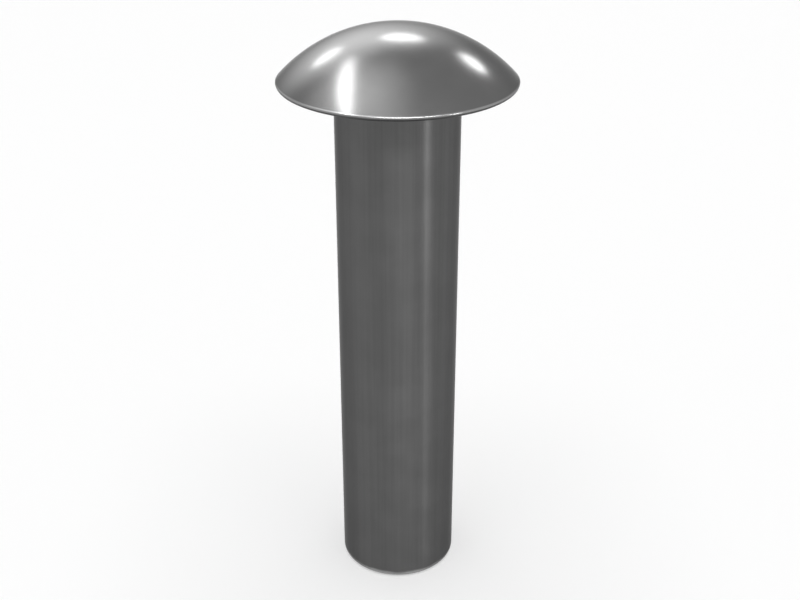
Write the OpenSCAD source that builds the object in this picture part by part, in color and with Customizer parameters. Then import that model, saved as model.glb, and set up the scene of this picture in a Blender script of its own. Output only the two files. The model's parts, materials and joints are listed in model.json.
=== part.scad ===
// Hollow rivet with a closed, domed head. It is one piece of steel: headed from bar, with a
// straight shank bored out from its end, so that the thin wall there can be rolled back over
// the work. Every surface is turned about the Z axis. The origin is the middle of the head's
// flat underside, +Z runs to the crown of the head and the shank hangs down along -Z.

/* [Shank] */
// Outside diameter of the shank
shank_d = 8; // [6.5:0.1:11]
// Length of the shank, from its end to the underside of the head
shank_len = 35.5; // [22:0.5:60]
// Radius of the round on the outer edge of the shank's end
end_round = 0.3; // [0.1:0.05:0.4]
// Radius of the fillet where the shank runs into the head
neck_fillet = 0.2; // [0.1:0.05:0.5]

/* [Head] */
// Diameter of the head, measured across its rim
head_d = 15.1; // [14:0.02:22]
// Height of the head, from its underside to the crown
head_h = 3.56; // [2.5:0.01:5.5]
// Radius of the round on the rim's lower edge
rim_round = 0.24; // [0.1:0.01:0.6]
// Radius of the smaller round between the rim and the dome
rim_top_round = 0.06; // [0.04:0.01:0.4]

/* [Hole] */
// Wall left around the hole
wall = 1.1; // [0.8:0.05:2]
// Length of shank that stays solid, from the hole's straight wall to the head
solid_len = 5; // [4.5:0.5:15]
// Angle across the pointed bottom of the hole
point_angle = 118; // [100:1:150]
// Width of the chamfer on the hole's mouth
mouth_chamfer = 0.2; // [0.1:0.05:0.3]

/* [Hidden] */
$fn = 128;

// How far the dome's arc dips inside the rim's upper round, so that the two arcs cross cleanly
lap = 0.0005;

shank_r = shank_d / 2;
hole_r = shank_r - wall;
hole_len = shank_len - solid_len;
point_len = hole_r / tan(point_angle / 2);

// The rim's two rounds meet where it is widest, at the height of the lower round's centre
rim_x = head_d / 2 - rim_round;
rim_top_x = head_d / 2 - rim_top_round;

// The dome is one spherical surface through the crown, and it runs into the rim's upper round
rim_reach = rim_top_round - lap;
crown_rise = head_h - rim_round;
dome_r = (rim_top_x ^ 2 + crown_rise ^ 2 - rim_reach ^ 2) / (2 * (crown_rise - rim_reach));
dome_z = head_h - dome_r;
meet_angle = atan2(rim_top_x, rim_round - dome_z);
meet_x = dome_r * sin(meet_angle);
meet_z = dome_z + dome_r * cos(meet_angle);

// Half section of the head, on the right of the axis
module head_section() {
    intersection() {
        translate([0, dome_z]) circle(r = dome_r);
        translate([0, meet_z]) square([meet_x, head_h]);
    }
    polygon([[0, rim_round], [rim_top_x, rim_round], [meet_x, meet_z], [0, meet_z]]);
    intersection() {
        translate([rim_top_x, rim_round]) circle(r = rim_top_round);
        translate([0, rim_round]) square([head_d, head_h]);
    }
    intersection() {
        translate([rim_x, rim_round]) circle(r = rim_round);
        square([head_d, rim_round]);
    }
    square([rim_x, rim_round]);
}

// Half section of the shank before boring, carried up into the head
module shank_section() {
    translate([0, end_round - shank_len]) square([shank_r, shank_len]);
    translate([0, -shank_len]) square([shank_r - end_round, end_round]);
    translate([shank_r - end_round, end_round - shank_len]) circle(r = end_round);
}

// The corner under the head, filled out to a concave quarter round
module neck_section() {
    difference() {
        translate([shank_r - neck_fillet, -neck_fillet]) square([2 * neck_fillet, 2 * neck_fillet]);
        translate([shank_r + neck_fillet, -neck_fillet]) circle(r = neck_fillet);
    }
}

// What the boring tool clears: a straight hole, its pointed bottom and a chamfered mouth
module hole_section() {
    translate([0, -shank_len]) polygon([
        [0, 0],
        [hole_r + mouth_chamfer, 0],
        [hole_r, mouth_chamfer],
        [hole_r, hole_len],
        [0, hole_len + point_len]
    ]);
}

module rivet() {
    color("dimgray")
        rotate_extrude() difference() {
            union() {
                head_section();
                shank_section();
                neck_section();
            }
            hole_section();
        }
}

rivet();
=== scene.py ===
import json
import math
import bpy
from mathutils import Matrix, Vector


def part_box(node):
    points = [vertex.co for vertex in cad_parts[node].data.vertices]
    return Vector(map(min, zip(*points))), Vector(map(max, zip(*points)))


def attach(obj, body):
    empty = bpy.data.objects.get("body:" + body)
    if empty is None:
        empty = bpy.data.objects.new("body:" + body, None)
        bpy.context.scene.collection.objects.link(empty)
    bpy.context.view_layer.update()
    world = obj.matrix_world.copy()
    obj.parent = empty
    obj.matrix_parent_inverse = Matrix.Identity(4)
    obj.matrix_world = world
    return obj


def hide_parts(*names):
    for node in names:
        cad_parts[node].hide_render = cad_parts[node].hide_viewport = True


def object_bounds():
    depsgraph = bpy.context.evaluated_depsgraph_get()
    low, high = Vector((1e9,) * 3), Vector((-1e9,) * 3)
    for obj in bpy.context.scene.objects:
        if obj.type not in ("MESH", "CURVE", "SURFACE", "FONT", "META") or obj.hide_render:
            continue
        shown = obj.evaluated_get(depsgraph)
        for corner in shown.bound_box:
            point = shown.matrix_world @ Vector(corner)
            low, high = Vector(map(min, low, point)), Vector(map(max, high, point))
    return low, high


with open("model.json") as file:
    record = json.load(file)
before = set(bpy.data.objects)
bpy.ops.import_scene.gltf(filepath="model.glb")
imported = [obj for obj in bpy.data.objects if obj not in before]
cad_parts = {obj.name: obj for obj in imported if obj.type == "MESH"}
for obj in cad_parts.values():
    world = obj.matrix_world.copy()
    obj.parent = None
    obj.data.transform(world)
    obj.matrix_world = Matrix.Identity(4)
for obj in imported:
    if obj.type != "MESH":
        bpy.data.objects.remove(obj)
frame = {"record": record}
cad_low, cad_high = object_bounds()


# The camera. It looks down on the rivet from a little above the head, close enough for the
# shank to narrow towards the floor. The rivet stands on its end in the middle of the picture.
LENS_MM = 54.66
PITCH_DOWN = 27.219
CAMERA_PLACE = (0.0001477, -0.072911, 0.022394)

camera_data = bpy.data.cameras.new("camera")
camera_data.sensor_width = 36.0
camera_data.lens = LENS_MM
camera_data.clip_start = 0.001
camera_data.clip_end = 20.0
camera = bpy.data.objects.new("camera", camera_data)
camera.location = CAMERA_PLACE
camera.rotation_euler = (math.radians(90.0 - PITCH_DOWN), 0.0, 0.0)
bpy.context.scene.collection.objects.link(camera)
bpy.context.scene.camera = camera


# The rivet. One piece of dark, plain carbon steel: the head is struck in a polished die from the
# end of a bar and comes out satin bright, the shank is polished round and round, and the hole
# is drilled up from the foot. Every surface is turned about the Z axis.
STEEL_COLOR = (0.122, 0.122, 0.122)
STEEL_EDGE_TINT = (0.5, 0.5, 0.5, 1.0)
MOTTLING_SCALE = 420.0
MOTTLING_ROUGHNESS = 0.015
FINE_GRAIN_SCALE = 9000.0
NOISE_LOW = 0.3
NOISE_HIGH = 0.7
EDGE_BAND_NOISE_SCALE = 900.0
BUMP_DEPTH = 0.00001


def link_or_set(tree, socket, value):
    """Joins a socket to another one, or gives it a plain value."""
    if isinstance(value, bpy.types.NodeSocket):
        tree.links.new(value, socket)
    else:
        socket.default_value = value


def calculate(tree, operation, *values, clamp=False):
    """A Math node on sockets or numbers; gives back its result."""
    node = tree.nodes.new("ShaderNodeMath")
    node.operation = operation
    node.use_clamp = clamp
    for socket, value in zip(node.inputs, values):
        link_or_set(tree, socket, value)
    return node.outputs[0]


def spread(tree, value, low, high, to_low, to_high):
    """A smooth Map Range node from low..high to to_low..to_high."""
    node = tree.nodes.new("ShaderNodeMapRange")
    node.interpolation_type = "SMOOTHSTEP"
    for socket, number in zip(node.inputs, (value, low, high, to_low, to_high)):
        link_or_set(tree, socket, number)
    return node.outputs[0]


def shader_group(name, inputs, outputs):
    """An empty shader node group with named float or vector sockets."""
    tree = bpy.data.node_groups.new(name, "ShaderNodeTree")
    for label, kind in inputs:
        tree.interface.new_socket(name=label, in_out="INPUT", socket_type=kind)
    for label, kind in outputs:
        tree.interface.new_socket(name=label, in_out="OUTPUT", socket_type=kind)
    start = tree.nodes.new("NodeGroupInput")
    end = tree.nodes.new("NodeGroupOutput")
    return tree, start, end


def grain_group():
    """Streaks or mottling: noise on coordinates stretched by the Stretch input along Z."""
    tree, start, end = shader_group(
        "Metal grain",
        (("Position", "NodeSocketVector"), ("Stretch", "NodeSocketFloat"),
         ("Scale", "NodeSocketFloat"), ("Detail", "NodeSocketFloat")),
        (("Grain", "NodeSocketFloat"),),
    )
    split = tree.nodes.new("ShaderNodeSeparateXYZ")
    tree.links.new(start.outputs["Position"], split.inputs[0])
    join = tree.nodes.new("ShaderNodeCombineXYZ")
    tree.links.new(split.outputs["X"], join.inputs["X"])
    tree.links.new(split.outputs["Y"], join.inputs["Y"])
    shorter = calculate(tree, "DIVIDE", split.outputs["Z"], start.outputs["Stretch"])
    tree.links.new(shorter, join.inputs["Z"])
    noise = tree.nodes.new("ShaderNodeTexNoise")
    tree.links.new(join.outputs[0], noise.inputs["Vector"])
    tree.links.new(start.outputs["Scale"], noise.inputs["Scale"])
    tree.links.new(start.outputs["Detail"], noise.inputs["Detail"])
    tree.links.new(noise.outputs["Fac"], end.inputs["Grain"])
    return tree


# This edge mask carries the rubbed-bright wear with its painted highlights, and the rim's painted
# shade.
def edge_band_group():
    """A mask that is 1 on a turned edge at Edge Radius and Edge Height and fades out by Width."""
    tree, start, end = shader_group(
        "Edge band",
        (("Position", "NodeSocketVector"), ("Edge Radius", "NodeSocketFloat"),
         ("Edge Height", "NodeSocketFloat"), ("Width", "NodeSocketFloat"),
         ("Breakup", "NodeSocketFloat")),
        (("Mask", "NodeSocketFloat"),),
    )
    split = tree.nodes.new("ShaderNodeSeparateXYZ")
    tree.links.new(start.outputs["Position"], split.inputs[0])
    x_squared = calculate(tree, "MULTIPLY", split.outputs["X"], split.outputs["X"])
    y_squared = calculate(tree, "MULTIPLY", split.outputs["Y"], split.outputs["Y"])
    radius = calculate(tree, "SQRT", calculate(tree, "ADD", x_squared, y_squared))
    out = calculate(tree, "SUBTRACT", radius, start.outputs["Edge Radius"])
    up = calculate(tree, "SUBTRACT", split.outputs["Z"], start.outputs["Edge Height"])
    out_squared = calculate(tree, "MULTIPLY", out, out)
    up_squared = calculate(tree, "MULTIPLY", up, up)
    distance = calculate(tree, "SQRT", calculate(tree, "ADD", out_squared, up_squared))
    noise = tree.nodes.new("ShaderNodeTexNoise")
    noise.inputs["Scale"].default_value = EDGE_BAND_NOISE_SCALE
    noise.inputs["Detail"].default_value = 4.0
    tree.links.new(start.outputs["Position"], noise.inputs["Vector"])
    rough = calculate(tree, "SUBTRACT", noise.outputs["Fac"], 0.5)
    rough = calculate(tree, "MULTIPLY", rough, start.outputs["Breakup"])
    share = calculate(tree, "DIVIDE", distance, start.outputs["Width"])
    share = calculate(tree, "ADD", share, rough)
    mask = spread(tree, share, 0.2, 1.0, 1.0, 0.0)
    tree.links.new(mask, end.inputs["Mask"])
    return tree


grain = grain_group()
edge_band = edge_band_group()


def place_group(tree, group, **values):
    """Places a shader group in a material with its own values; gives back its first output."""
    node = tree.nodes.new("ShaderNodeGroup")
    node.node_tree = group
    for label, value in values.items():
        link_or_set(tree, node.inputs[label.replace("_", " ")], value)
    return node.outputs[0]


def steel_material(name):
    """A bare metal material; gives back it, its tree, its shader and its object coordinates."""
    material = bpy.data.materials.new(name)
    material.use_nodes = True
    tree = material.node_tree
    tree.nodes.clear()
    output = tree.nodes.new("ShaderNodeOutputMaterial")
    shader = tree.nodes.new("ShaderNodeBsdfPrincipled")
    tree.links.new(shader.outputs[0], output.inputs["Surface"])
    shader.inputs["Metallic"].default_value = 1.0
    shader.inputs["Specular Tint"].default_value = STEEL_EDGE_TINT
    place = tree.nodes.new("ShaderNodeTexCoord").outputs["Object"]
    return material, tree, shader, place


def finish_steel(tree, shader, brightness, roughness, height, bump_strength):
    """Sets the steel's colour to the brightness mask, and joins its roughness and bump."""
    tinted = tree.nodes.new("ShaderNodeVectorMath")
    tinted.operation = "SCALE"
    tinted.inputs[0].default_value = STEEL_COLOR
    tree.links.new(brightness, tinted.inputs["Scale"])
    tree.links.new(tinted.outputs[0], shader.inputs["Base Color"])
    tree.links.new(roughness, shader.inputs["Roughness"])
    bump = tree.nodes.new("ShaderNodeBump")
    bump.inputs["Strength"].default_value = bump_strength
    bump.inputs["Distance"].default_value = BUMP_DEPTH
    tree.links.new(height, bump.inputs["Height"])
    tree.links.new(bump.outputs[0], shader.inputs["Normal"])


# The head: a faint mottling from the die, and an upper rim edge rubbed bright all round by
# handling in bulk and lifted further as a painted highlight. The rim's lower round below it is
# darkened all round, a painted shade.
HEAD_ROUGHNESS = 0.2
HEAD_BUMP = 0.1
RIM_WEAR_AND_HIGHLIGHT_LIFT = 1.4
RIM_PAINTED_SHADE_LIFT = -0.35
head_steel, head_tree, head_shader, head_place = steel_material("satin_steel")
head_mottling = place_group(
    head_tree, grain, Position=head_place, Stretch=1.0, Scale=MOTTLING_SCALE, Detail=3.0)
head_grain = place_group(
    head_tree, grain, Position=head_place, Stretch=1.0, Scale=FINE_GRAIN_SCALE, Detail=2.0)
RIM_RADIUS = cad_high[0]
RIM_EDGE_RADIUS = RIM_RADIUS - 0.00001
RIM_EDGE_HEIGHT = 0.00026
# Wear and painted highlight: the upper rim edge is rubbed bright all round, and its lift also paints
# the bright line of light along that edge.
rim_wear_and_highlight = place_group(
    head_tree, edge_band, Position=head_place, Edge_Radius=RIM_EDGE_RADIUS,
    Edge_Height=RIM_EDGE_HEIGHT, Width=0.00013, Breakup=0.5)
# Painted shade: a band on the rim's lower round, darkened all round.
rim_painted_shade = place_group(
    head_tree, edge_band, Position=head_place, Edge_Radius=RIM_RADIUS - 0.00003,
    Edge_Height=0.00009, Width=0.00032, Breakup=0.3)
head_bright = spread(head_tree, head_mottling, NOISE_LOW, NOISE_HIGH, 0.97, 1.03)
head_bright = calculate(head_tree, "MULTIPLY_ADD", rim_painted_shade, RIM_PAINTED_SHADE_LIFT, head_bright)
head_bright = calculate(head_tree, "MULTIPLY_ADD", rim_wear_and_highlight, RIM_WEAR_AND_HIGHLIGHT_LIFT, head_bright)
head_rough = spread(
    head_tree, head_mottling, NOISE_LOW, NOISE_HIGH,
    HEAD_ROUGHNESS - MOTTLING_ROUGHNESS, HEAD_ROUGHNESS + MOTTLING_ROUGHNESS)
head_rough = calculate(head_tree, "MULTIPLY_ADD", rim_wear_and_highlight, -0.03, head_rough)
finish_steel(head_tree, head_shader, head_bright, head_rough, head_grain, HEAD_BUMP)

# The shank: polishing rings too fine to see run round it and draw each light out into a line
# along it. It keeps faint lengthwise lines from the bar, and its end is rubbed bright all round,
# lifted further as a painted highlight on that edge.
SHANK_SHADE = 0.86
SHANK_ROUGHNESS = 0.3
SHANK_BUMP = 0.15
SHANK_DRAW_OUT = 0.85
ALONG_THE_SHANK = 0.25
SOFT_BAND_SHADE = 0.04
FINE_LINE_SHADE = 0.03
END_WEAR_AND_HIGHLIGHT_LIFT = 2.0
END_EDGE_RADIUS = 0.00391
END_EDGE_HEIGHT = cad_low[2] + 0.00009
shank_steel, shank_tree, shank_shader, shank_place = steel_material("polished_steel")
shank_shader.inputs["Anisotropic"].default_value = SHANK_DRAW_OUT
shank_shader.inputs["Anisotropic Rotation"].default_value = ALONG_THE_SHANK
shank_lines = place_group(
    shank_tree, grain, Position=shank_place, Stretch=80.0, Scale=5200.0, Detail=3.0)
soft_bands = place_group(
    shank_tree, grain, Position=shank_place, Stretch=60.0, Scale=520.0, Detail=1.0)
shank_mottling = place_group(
    shank_tree, grain, Position=shank_place, Stretch=1.0, Scale=MOTTLING_SCALE, Detail=3.0)
shank_grain = place_group(
    shank_tree, grain, Position=shank_place, Stretch=1.0, Scale=FINE_GRAIN_SCALE, Detail=2.0)
# Wear and painted highlight: the end's round edge is rubbed bright all round, and its lift also paints
# a bright line of light there.
end_wear_and_highlight = place_group(
    shank_tree, edge_band, Position=shank_place, Edge_Radius=END_EDGE_RADIUS,
    Edge_Height=END_EDGE_HEIGHT, Width=0.0004, Breakup=0.9)
shank_bright = spread(
    shank_tree, soft_bands, NOISE_LOW, NOISE_HIGH,
    SHANK_SHADE - SOFT_BAND_SHADE, SHANK_SHADE + SOFT_BAND_SHADE)
for fine_pattern in (shank_lines, shank_mottling):
    fine_shade = spread(
        shank_tree, fine_pattern, NOISE_LOW, NOISE_HIGH, -FINE_LINE_SHADE, FINE_LINE_SHADE)
    shank_bright = calculate(shank_tree, "ADD", shank_bright, fine_shade)
shank_bright = calculate(shank_tree, "MULTIPLY_ADD", end_wear_and_highlight, END_WEAR_AND_HIGHLIGHT_LIFT, shank_bright)
shank_rough = spread(
    shank_tree, shank_mottling, NOISE_LOW, NOISE_HIGH,
    SHANK_ROUGHNESS - MOTTLING_ROUGHNESS, SHANK_ROUGHNESS + MOTTLING_ROUGHNESS)
shank_rough = calculate(shank_tree, "MULTIPLY_ADD", end_wear_and_highlight, -0.05, shank_rough)
shank_height = calculate(shank_tree, "MULTIPLY_ADD", shank_grain, 0.3, shank_lines)
finish_steel(shank_tree, shank_shader, shank_bright, shank_rough, shank_height, SHANK_BUMP)

# The hole: the drill's lips leave fine rings round the wall, and the bottom stays dull.
HOLE_ROUGHNESS = 0.34
HOLE_ROUGHNESS_SPREAD = 0.03
HOLE_SPECK_SHADE = 0.05
HOLE_BUMP = 0.4
hole_steel, hole_tree, hole_shader, hole_place = steel_material("drilled_steel")
drill_rings = place_group(
    hole_tree, grain, Position=hole_place, Stretch=0.02, Scale=180.0, Detail=3.0)
hole_mottling = place_group(
    hole_tree, grain, Position=hole_place, Stretch=1.0, Scale=700.0, Detail=3.0)
hole_bright = spread(hole_tree, drill_rings, NOISE_LOW, NOISE_HIGH, 0.82, 1.1)
hole_specks = spread(
    hole_tree, hole_mottling, NOISE_LOW, NOISE_HIGH, -HOLE_SPECK_SHADE, HOLE_SPECK_SHADE)
hole_bright = calculate(hole_tree, "ADD", hole_bright, hole_specks)
hole_rough = spread(
    hole_tree, hole_mottling, NOISE_LOW, NOISE_HIGH,
    HOLE_ROUGHNESS - HOLE_ROUGHNESS_SPREAD, HOLE_ROUGHNESS + HOLE_ROUGHNESS_SPREAD)
finish_steel(hole_tree, hole_shader, hole_bright, hole_rough, drill_rings, HOLE_BUMP)

# The rivet's sizes. The mesh is its section swept round the axis, from the crown down to the
# bottom of the hole.
mounts = {mount["name"]: mount for mount in frame["record"]["mounts"]}
rivet_low, rivet_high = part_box("rivet")
SHANK_RADIUS = mounts["shank"]["dims"]["r_mm"] / 1000.0
HOLE_RADIUS = mounts["hole"]["dims"]["r_mm"] / 1000.0
RIVET_SIZES = {
    "Shank Radius": SHANK_RADIUS,
    "Shank Length": -rivet_low[2],
    "End Round": 0.0003,
    "Neck Fillet": 0.0002,
    "Head Radius": min(rivet_high[0], rivet_high[1], -rivet_low[0], -rivet_low[1]),
    "Head Height": rivet_high[2],
    "Rim Round": 0.00024,
    "Rim Top Round": 0.00006,
    "Hole Radius": HOLE_RADIUS,
    "Hole Depth": 0.0305,
    "Point Angle": math.radians(118.0),
    "Mouth Chamfer": 0.0002,
}
STEPS_AROUND = 192
SEAM_REACH = 0.0000002
SHARP_ANGLE = 0.5


def turned_face_group():
    """Sweeps one line of the section, drawn in X and Y, round the Z axis."""
    tree = bpy.data.node_groups.new("Turned face", "GeometryNodeTree")
    tree.interface.new_socket(name="Section", in_out="INPUT", socket_type="NodeSocketGeometry")
    tree.interface.new_socket(name="Steps Around", in_out="INPUT", socket_type="NodeSocketInt")
    tree.interface.new_socket(name="Face", in_out="OUTPUT", socket_type="NodeSocketGeometry")
    start = tree.nodes.new("NodeGroupInput")
    end = tree.nodes.new("NodeGroupOutput")
    size = tree.nodes.new("GeometryNodeAttributeDomainSize")
    size.component = "CURVE"
    tree.links.new(start.outputs["Section"], size.inputs[0])
    points = size.outputs["Point Count"]
    around = calculate(tree, "ADD", start.outputs["Steps Around"], 1.0)
    grid = tree.nodes.new("GeometryNodeMeshGrid")
    grid.inputs["Size X"].default_value = 1.0
    grid.inputs["Size Y"].default_value = 1.0
    tree.links.new(around, grid.inputs["Vertices X"])
    tree.links.new(points, grid.inputs["Vertices Y"])
    place = tree.nodes.new("GeometryNodeInputPosition").outputs[0]
    split = tree.nodes.new("ShaderNodeSeparateXYZ")
    tree.links.new(place, split.inputs[0])
    turn = calculate(tree, "MULTIPLY_ADD", split.outputs["X"], 2.0 * math.pi, math.pi)
    last = calculate(tree, "SUBTRACT", points, 1.0)
    along = calculate(tree, "ADD", split.outputs["Y"], 0.5)
    number = calculate(tree, "ROUND", calculate(tree, "MULTIPLY", along, last))
    sample = tree.nodes.new("GeometryNodeSampleIndex")
    sample.data_type = "FLOAT_VECTOR"
    sample.domain = "POINT"
    tree.links.new(start.outputs["Section"], sample.inputs["Geometry"])
    tree.links.new(place, sample.inputs["Value"])
    tree.links.new(number, sample.inputs["Index"])
    section_point = tree.nodes.new("ShaderNodeSeparateXYZ")
    tree.links.new(sample.outputs[0], section_point.inputs[0])
    radius = section_point.outputs["X"]
    swept = tree.nodes.new("ShaderNodeCombineXYZ")
    swept_x = calculate(tree, "MULTIPLY", radius, calculate(tree, "COSINE", turn))
    swept_y = calculate(tree, "MULTIPLY", radius, calculate(tree, "SINE", turn))
    tree.links.new(swept_x, swept.inputs["X"])
    tree.links.new(swept_y, swept.inputs["Y"])
    tree.links.new(section_point.outputs["Y"], swept.inputs["Z"])
    moved = tree.nodes.new("GeometryNodeSetPosition")
    tree.links.new(grid.outputs["Mesh"], moved.inputs["Geometry"])
    tree.links.new(swept.outputs[0], moved.inputs["Position"])
    tree.links.new(moved.outputs[0], end.inputs["Face"])
    return tree


turned_face = turned_face_group()

rivet_tree = bpy.data.node_groups.new("Turned rivet", "GeometryNodeTree")
for label in RIVET_SIZES:
    rivet_tree.interface.new_socket(name=label, in_out="INPUT", socket_type="NodeSocketFloat")
rivet_tree.interface.new_socket(name="Steps Around", in_out="INPUT", socket_type="NodeSocketInt")
rivet_tree.interface.new_socket(name="Rivet", in_out="OUTPUT", socket_type="NodeSocketGeometry")
rivet_start = rivet_tree.nodes.new("NodeGroupInput")
rivet_end = rivet_tree.nodes.new("NodeGroupOutput")
rivet_faces = rivet_tree.nodes.new("GeometryNodeJoinGeometry")
size = rivet_start.outputs


def turn_section(line):
    """Sweeps a line of the section and adds it to the rivet."""
    face = rivet_tree.nodes.new("GeometryNodeGroup")
    face.node_tree = turned_face
    rivet_tree.links.new(line, face.inputs["Section"])
    rivet_tree.links.new(size["Steps Around"], face.inputs["Steps Around"])
    rivet_tree.links.new(face.outputs[0], rivet_faces.inputs[0])


def section_arc(middle_radius, middle_height, arc_radius, from_angle, sweep, points):
    """An arc of the section about a point that far from the axis and that high."""
    arc = rivet_tree.nodes.new("GeometryNodeCurveArc")
    arc.mode = "RADIUS"
    arc.inputs["Resolution"].default_value = points
    link_or_set(rivet_tree, arc.inputs["Radius"], arc_radius)
    link_or_set(rivet_tree, arc.inputs["Start Angle"], from_angle)
    link_or_set(rivet_tree, arc.inputs["Sweep Angle"], sweep)
    middle = rivet_tree.nodes.new("ShaderNodeCombineXYZ")
    link_or_set(rivet_tree, middle.inputs["X"], middle_radius)
    link_or_set(rivet_tree, middle.inputs["Y"], middle_height)
    moved = rivet_tree.nodes.new("GeometryNodeTransform")
    rivet_tree.links.new(arc.outputs["Curve"], moved.inputs["Geometry"])
    rivet_tree.links.new(middle.outputs[0], moved.inputs["Translation"])
    turn_section(moved.outputs[0])


def section_line(from_radius, from_height, to_radius, to_height, points):
    """A straight line of the section, with evenly spaced points."""
    line = rivet_tree.nodes.new("GeometryNodeCurvePrimitiveLine")
    for label, radius, height in (("Start", from_radius, from_height), ("End", to_radius, to_height)):
        place = rivet_tree.nodes.new("ShaderNodeCombineXYZ")
        link_or_set(rivet_tree, place.inputs["X"], radius)
        link_or_set(rivet_tree, place.inputs["Y"], height)
        rivet_tree.links.new(place.outputs[0], line.inputs[label])
    spaced = rivet_tree.nodes.new("GeometryNodeResampleCurve")
    spaced.inputs["Count"].default_value = points
    rivet_tree.links.new(line.outputs["Curve"], spaced.inputs["Curve"])
    turn_section(spaced.outputs[0])


# The dome's arc touches the small round on the rim's upper edge from inside. The rim turns
# straight down there, at the height where the larger round of its lower edge begins.
rim_top_middle = calculate(rivet_tree, "SUBTRACT", size["Head Radius"], size["Rim Top Round"])
crown_rise = calculate(rivet_tree, "SUBTRACT", size["Head Height"], size["Rim Round"])
over = calculate(rivet_tree, "MULTIPLY", rim_top_middle, rim_top_middle)
over = calculate(rivet_tree, "MULTIPLY_ADD", crown_rise, crown_rise, over)
over = calculate(
    rivet_tree, "SUBTRACT", over,
    calculate(rivet_tree, "MULTIPLY", size["Rim Top Round"], size["Rim Top Round"]))
under = calculate(rivet_tree, "SUBTRACT", crown_rise, size["Rim Top Round"])
under = calculate(rivet_tree, "MULTIPLY", under, 2.0)
dome_radius = calculate(rivet_tree, "DIVIDE", over, under)
dome_middle = calculate(rivet_tree, "SUBTRACT", size["Head Height"], dome_radius)
rim_above = calculate(rivet_tree, "SUBTRACT", size["Rim Round"], dome_middle)
meeting = calculate(rivet_tree, "ARCTAN2", rim_top_middle, rim_above)
meeting_back = calculate(rivet_tree, "MULTIPLY", meeting, -1.0)
section_arc(0.0, dome_middle, dome_radius, math.pi / 2, meeting_back, 96)
rim_start = calculate(rivet_tree, "SUBTRACT", math.pi / 2, meeting)
rim_sweep = calculate(rivet_tree, "SUBTRACT", meeting, math.pi / 2)
section_arc(
    rim_top_middle, size["Rim Round"], size["Rim Top Round"], rim_start, rim_sweep, 12)
rim_middle = calculate(rivet_tree, "SUBTRACT", size["Head Radius"], size["Rim Round"])
section_arc(rim_middle, size["Rim Round"], size["Rim Round"], 0.0, -math.pi / 2, 16)

# The underside runs in to the neck's fillet, and the shank goes straight down from there.
neck_middle = calculate(rivet_tree, "ADD", size["Shank Radius"], size["Neck Fillet"])
neck_height = calculate(rivet_tree, "MULTIPLY", size["Neck Fillet"], -1.0)
neck_below = calculate(rivet_tree, "MULTIPLY", size["Neck Fillet"], -0.5)
section_line(rim_middle, 0.0, neck_middle, 0.0, 8)
section_arc(neck_middle, neck_height, size["Neck Fillet"], math.pi / 2, math.pi / 2, 10)
end_height = calculate(rivet_tree, "MULTIPLY", size["Shank Length"], -1.0)
end_round_height = calculate(rivet_tree, "ADD", end_height, size["End Round"])
end_round_middle = calculate(rivet_tree, "SUBTRACT", size["Shank Radius"], size["End Round"])
section_line(size["Shank Radius"], neck_height, size["Shank Radius"], end_round_height, 28)
section_arc(end_round_middle, end_round_height, size["End Round"], 0.0, -math.pi / 2, 12)

# The end's narrow ring, the chamfer on the hole's mouth, the hole's wall and its drilled point.
mouth_radius = calculate(rivet_tree, "ADD", size["Hole Radius"], size["Mouth Chamfer"])
hole_edge = calculate(
    rivet_tree, "MULTIPLY_ADD", size["Mouth Chamfer"], 0.25, size["Hole Radius"])
wall_foot = calculate(rivet_tree, "ADD", end_height, size["Mouth Chamfer"])
wall_top = calculate(rivet_tree, "ADD", end_height, size["Hole Depth"])
half_point = calculate(rivet_tree, "MULTIPLY", size["Point Angle"], 0.5)
point_rise = calculate(
    rivet_tree, "DIVIDE", size["Hole Radius"], calculate(rivet_tree, "TANGENT", half_point))
point_height = calculate(rivet_tree, "ADD", wall_top, point_rise)
section_line(end_round_middle, end_height, mouth_radius, end_height, 4)
section_line(mouth_radius, end_height, size["Hole Radius"], wall_foot, 3)
section_line(size["Hole Radius"], wall_foot, size["Hole Radius"], wall_top, 24)
section_line(size["Hole Radius"], wall_top, 0.0, point_height, 10)

rivet_merged = rivet_tree.nodes.new("GeometryNodeMergeByDistance")
rivet_merged.inputs["Distance"].default_value = SEAM_REACH
rivet_tree.links.new(rivet_faces.outputs[0], rivet_merged.inputs["Geometry"])
rivet_outward = rivet_tree.nodes.new("GeometryNodeFlipFaces")
rivet_tree.links.new(rivet_merged.outputs[0], rivet_outward.inputs["Mesh"])
rivet_smooth = rivet_tree.nodes.new("GeometryNodeSetShadeSmooth")
rivet_smooth.domain = "FACE"
rivet_tree.links.new(rivet_outward.outputs[0], rivet_smooth.inputs["Geometry"])
edge_angle = rivet_tree.nodes.new("GeometryNodeInputMeshEdgeAngle")
is_sharp = calculate(rivet_tree, "GREATER_THAN", edge_angle.outputs["Unsigned Angle"], SHARP_ANGLE)
rivet_sharp = rivet_tree.nodes.new("GeometryNodeSetShadeSmooth")
rivet_sharp.domain = "EDGE"
rivet_sharp.inputs["Shade Smooth"].default_value = False
rivet_tree.links.new(rivet_smooth.outputs[0], rivet_sharp.inputs["Geometry"])
rivet_tree.links.new(is_sharp, rivet_sharp.inputs["Selection"])
rivet_real = rivet_tree.nodes.new("GeometryNodeRealizeInstances")
rivet_tree.links.new(rivet_sharp.outputs[0], rivet_real.inputs[0])

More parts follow.
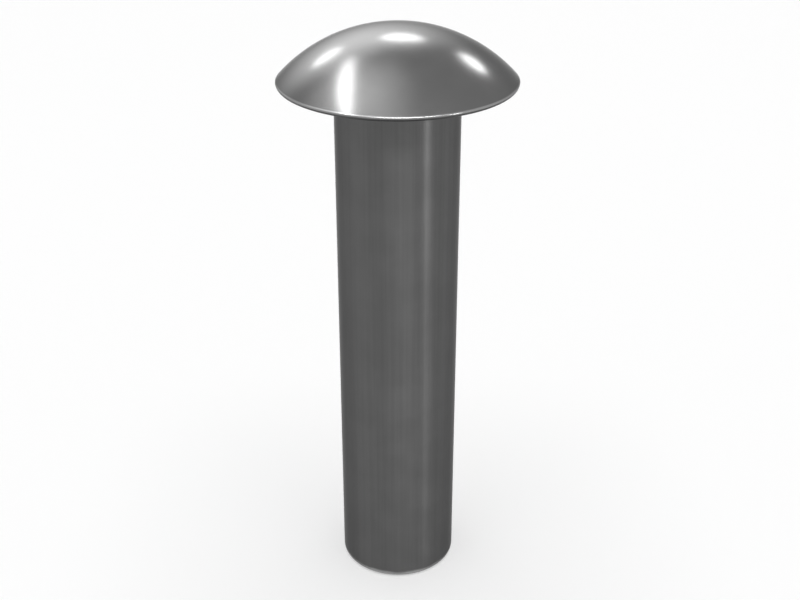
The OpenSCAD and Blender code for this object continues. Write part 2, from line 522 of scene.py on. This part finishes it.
# The head's finish goes on all over, then the shank's below the head, then the hole's inside it.
face_place = rivet_tree.nodes.new("ShaderNodeSeparateXYZ")
rivet_tree.links.new(rivet_tree.nodes.new("GeometryNodeInputPosition").outputs[0], face_place.inputs[0])
below_head = calculate(rivet_tree, "LESS_THAN", face_place.outputs["Z"], neck_below)
x_square = calculate(rivet_tree, "MULTIPLY", face_place.outputs["X"], face_place.outputs["X"])
out_square = calculate(
    rivet_tree, "MULTIPLY_ADD", face_place.outputs["Y"], face_place.outputs["Y"], x_square)
out_from_axis = calculate(rivet_tree, "SQRT", out_square)
in_hole = calculate(
    rivet_tree, "MULTIPLY", below_head,
    calculate(rivet_tree, "LESS_THAN", out_from_axis, hole_edge))
rivet_done = rivet_real.outputs[0]
for finish, chosen in ((head_steel, None), (shank_steel, below_head), (hole_steel, in_hole)):
    finish_node = rivet_tree.nodes.new("GeometryNodeSetMaterial")
    finish_node.inputs["Material"].default_value = finish
    rivet_tree.links.new(rivet_done, finish_node.inputs["Geometry"])
    if chosen is not None:
        rivet_tree.links.new(chosen, finish_node.inputs["Selection"])
    rivet_done = finish_node.outputs[0]
rivet_tree.links.new(rivet_done, rivet_end.inputs["Rivet"])

rivet = bpy.data.objects.new("turned_rivet", bpy.data.meshes.new("turned_rivet"))
bpy.context.scene.collection.objects.link(rivet)
rivet_maker = rivet.modifiers.new("turned_rivet", "NODES")
rivet_maker.node_group = rivet_tree
for socket in rivet_tree.interface.items_tree:
    if socket.in_out == "INPUT" and socket.name in RIVET_SIZES:
        rivet_maker[socket.identifier] = RIVET_SIZES[socket.name]
    if socket.in_out == "INPUT" and socket.name == "Steps Around":
        rivet_maker[socket.identifier] = STEPS_AROUND
bpy.context.view_layer.update()
rivet_shape = rivet.evaluated_get(bpy.context.evaluated_depsgraph_get())
rivet_mesh = bpy.data.meshes.new_from_object(rivet_shape)
rivet.modifiers.remove(rivet_maker)
rivet_mesh.materials.pop(index=0)
rivet.data = rivet_mesh

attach(rivet, "root")
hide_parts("rivet")


# The floor. A plain, matt, near-white board that the rivet stands on; it reaches far past the
# picture's edge, so that nothing but the board shows behind the rivet.
FLOOR_COLOR = (0.93, 0.93, 0.93, 1.0)
FLOOR_REACH = 3.0
FLOOR_GLOW_SHARE = 0.4
floor_mesh = bpy.data.meshes.new("floor")
floor_height = cad_low[2] - 0.00001
floor_mesh.from_pydata(
    [(-FLOOR_REACH, -FLOOR_REACH, floor_height), (FLOOR_REACH, -FLOOR_REACH, floor_height),
     (FLOOR_REACH, FLOOR_REACH, floor_height), (-FLOOR_REACH, FLOOR_REACH, floor_height)],
    [], [(0, 1, 2, 3)])
floor = bpy.data.objects.new("floor", floor_mesh)
bpy.context.scene.collection.objects.link(floor)
floor_paint = bpy.data.materials.new("matt_white_board")
floor_paint.use_nodes = True
floor_shader = floor_paint.node_tree.nodes["Principled BSDF"]
floor_shader.inputs["Base Color"].default_value = FLOOR_COLOR
floor_shader.inputs["Roughness"].default_value = 1.0
floor_shader.inputs["Specular IOR Level"].default_value = 0.0
floor_glow = floor_paint.node_tree.nodes.new("ShaderNodeEmission")
floor_mix = floor_paint.node_tree.nodes.new("ShaderNodeMixShader")
floor_path = floor_paint.node_tree.nodes.new("ShaderNodeLightPath")
floor_seen = calculate(
    floor_paint.node_tree, "MAXIMUM", floor_path.outputs["Is Camera Ray"],
    floor_path.outputs["Is Glossy Ray"])
floor_seen = calculate(
    floor_paint.node_tree, "MAXIMUM", floor_seen, floor_path.outputs["Is Transmission Ray"])
floor_share = calculate(floor_paint.node_tree, "MULTIPLY", floor_seen, FLOOR_GLOW_SHARE)
floor_paint.node_tree.links.new(floor_share, floor_mix.inputs[0])
floor_paint.node_tree.links.new(floor_shader.outputs[0], floor_mix.inputs[1])
floor_paint.node_tree.links.new(floor_glow.outputs[0], floor_mix.inputs[2])
floor_end = floor_paint.node_tree.nodes["Material Output"]
floor_paint.node_tree.links.new(floor_mix.outputs[0], floor_end.inputs["Surface"])
floor_mesh.materials.append(floor_paint)


# The studio. A white room lights everything evenly, and one wide lamp overhead brightens the
# floor. The metal also mirrors eight plain soft boxes, each one a bright patch on the head.
ROOM_SEEN = 1.0
ROOM_FILL = 0.4
OVERHEAD_SIZE = 1.5
OVERHEAD_HEIGHT = 1.5
OVERHEAD_WATTS = 19.5
world = bpy.data.worlds.new("white_room")
bpy.context.scene.world = world
world.use_nodes = True
world_tree = world.node_tree
world_tree.nodes.clear()
world_output = world_tree.nodes.new("ShaderNodeOutputWorld")
seen_light = world_tree.nodes.new("ShaderNodeBackground")
seen_light.inputs["Strength"].default_value = ROOM_SEEN
fill_light = world_tree.nodes.new("ShaderNodeBackground")
fill_light.inputs["Strength"].default_value = ROOM_FILL
seen_light.inputs["Color"].default_value = (1.0, 1.0, 1.0, 1.0)
fill_light.inputs["Color"].default_value = (1.0, 1.0, 1.0, 1.0)
light_path = world_tree.nodes.new("ShaderNodeLightPath")
mirrored = calculate(
    world_tree, "MAXIMUM", light_path.outputs["Is Glossy Ray"],
    light_path.outputs["Is Transmission Ray"])
room_seen = calculate(world_tree, "MAXIMUM", mirrored, light_path.outputs["Is Camera Ray"])
world_mix = world_tree.nodes.new("ShaderNodeMixShader")
world_tree.links.new(room_seen, world_mix.inputs[0])
world_tree.links.new(fill_light.outputs[0], world_mix.inputs[1])
world_tree.links.new(seen_light.outputs[0], world_mix.inputs[2])
world_tree.links.new(world_mix.outputs[0], world_output.inputs["Surface"])

overhead_data = bpy.data.lights.new("overhead", "AREA")
overhead_data.shape = "SQUARE"
overhead_data.size = OVERHEAD_SIZE
overhead_data.energy = OVERHEAD_WATTS
overhead = bpy.data.objects.new("overhead", overhead_data)
overhead.location = (0.0, 0.0, OVERHEAD_HEIGHT + floor_height)
overhead.visible_glossy = False
bpy.context.scene.collection.objects.link(overhead)

# The soft boxes hang this far from the middle of the head. Widths and heights are in metres.
HEAD_MIDDLE = Vector((0.0, 0.0, 0.002))
BOX_DISTANCE = 1.0


def soft_box(name, azimuth, elevation, roll, width, height, brightness, even_part=0.35):
    """A soft box aimed at the head. Azimuth 0 is towards the camera and grows to the right,
    and brightness is how many times brighter than the white room its middle looks. It is even
    out to even_part of its size from the middle, and fades to nothing at its edge, at 0.5."""
    around = math.radians(azimuth)
    above = math.radians(elevation)
    out = Vector((math.cos(above) * math.sin(around), -math.cos(above) * math.cos(around),
                  math.sin(above)))
    level = Vector((math.cos(around), math.sin(around), 0.0))
    rise = out.cross(level)
    turned = math.radians(roll)
    across = math.cos(turned) * level + math.sin(turned) * rise
    upright = out.cross(across)
    data = bpy.data.lights.new(name, "AREA")
    data.shape = "RECTANGLE"
    data.size = width * BOX_DISTANCE
    data.size_y = height * BOX_DISTANCE
    data.energy = math.pi * data.size * data.size_y * brightness
    data.use_nodes = True
    lamp_face = data.node_tree.nodes.new("ShaderNodeNewGeometry").outputs["Parametric"]
    from_middle = data.node_tree.nodes.new("ShaderNodeVectorMath")
    from_middle.operation = "DISTANCE"
    from_middle.inputs[1].default_value = (0.5, 0.5, 0.0)
    data.node_tree.links.new(lamp_face, from_middle.inputs[0])
    fade = spread(data.node_tree, from_middle.outputs["Value"], even_part, 0.5, 1.0, 0.0)
    data.node_tree.links.new(fade, data.node_tree.nodes["Emission"].inputs["Strength"])
    box = bpy.data.objects.new(name, data)
    place = Matrix((across, upright, out)).transposed().to_4x4()
    place.translation = HEAD_MIDDLE + out * BOX_DISTANCE
    box.matrix_world = place
    box.visible_diffuse = False
    bpy.context.scene.collection.objects.link(box)


soft_box("strip_left", -106.0, 60.0, 6.0, 1.2, 0.18, 10.0)
soft_box("box_back", 178.0, 37.0, 0.0, 0.3, 0.24, 10.0)
soft_box("panel_back", -165.0, 30.0, 0.0, 1.6, 1.2, 5.0, even_part=0.0)
soft_box("box_back_left", -150.0, 31.0, 0.0, 0.26, 0.18, 10.0)
soft_box("box_back_right", 145.0, 33.0, 0.0, 0.26, 0.2, 14.0)
soft_box("panel_top", -85.0, 66.0, 0.0, 2.0, 1.6, 2.2, even_part=0.0)
soft_box("panel_front", 10.0, 46.0, 0.0, 1.2, 0.35, 22.0)
soft_box("box_right", 53.0, 8.0, 0.0, 0.22, 0.35, 18.0)


# The picture: plain colours.
bpy.context.scene.view_settings.view_transform = "Standard"
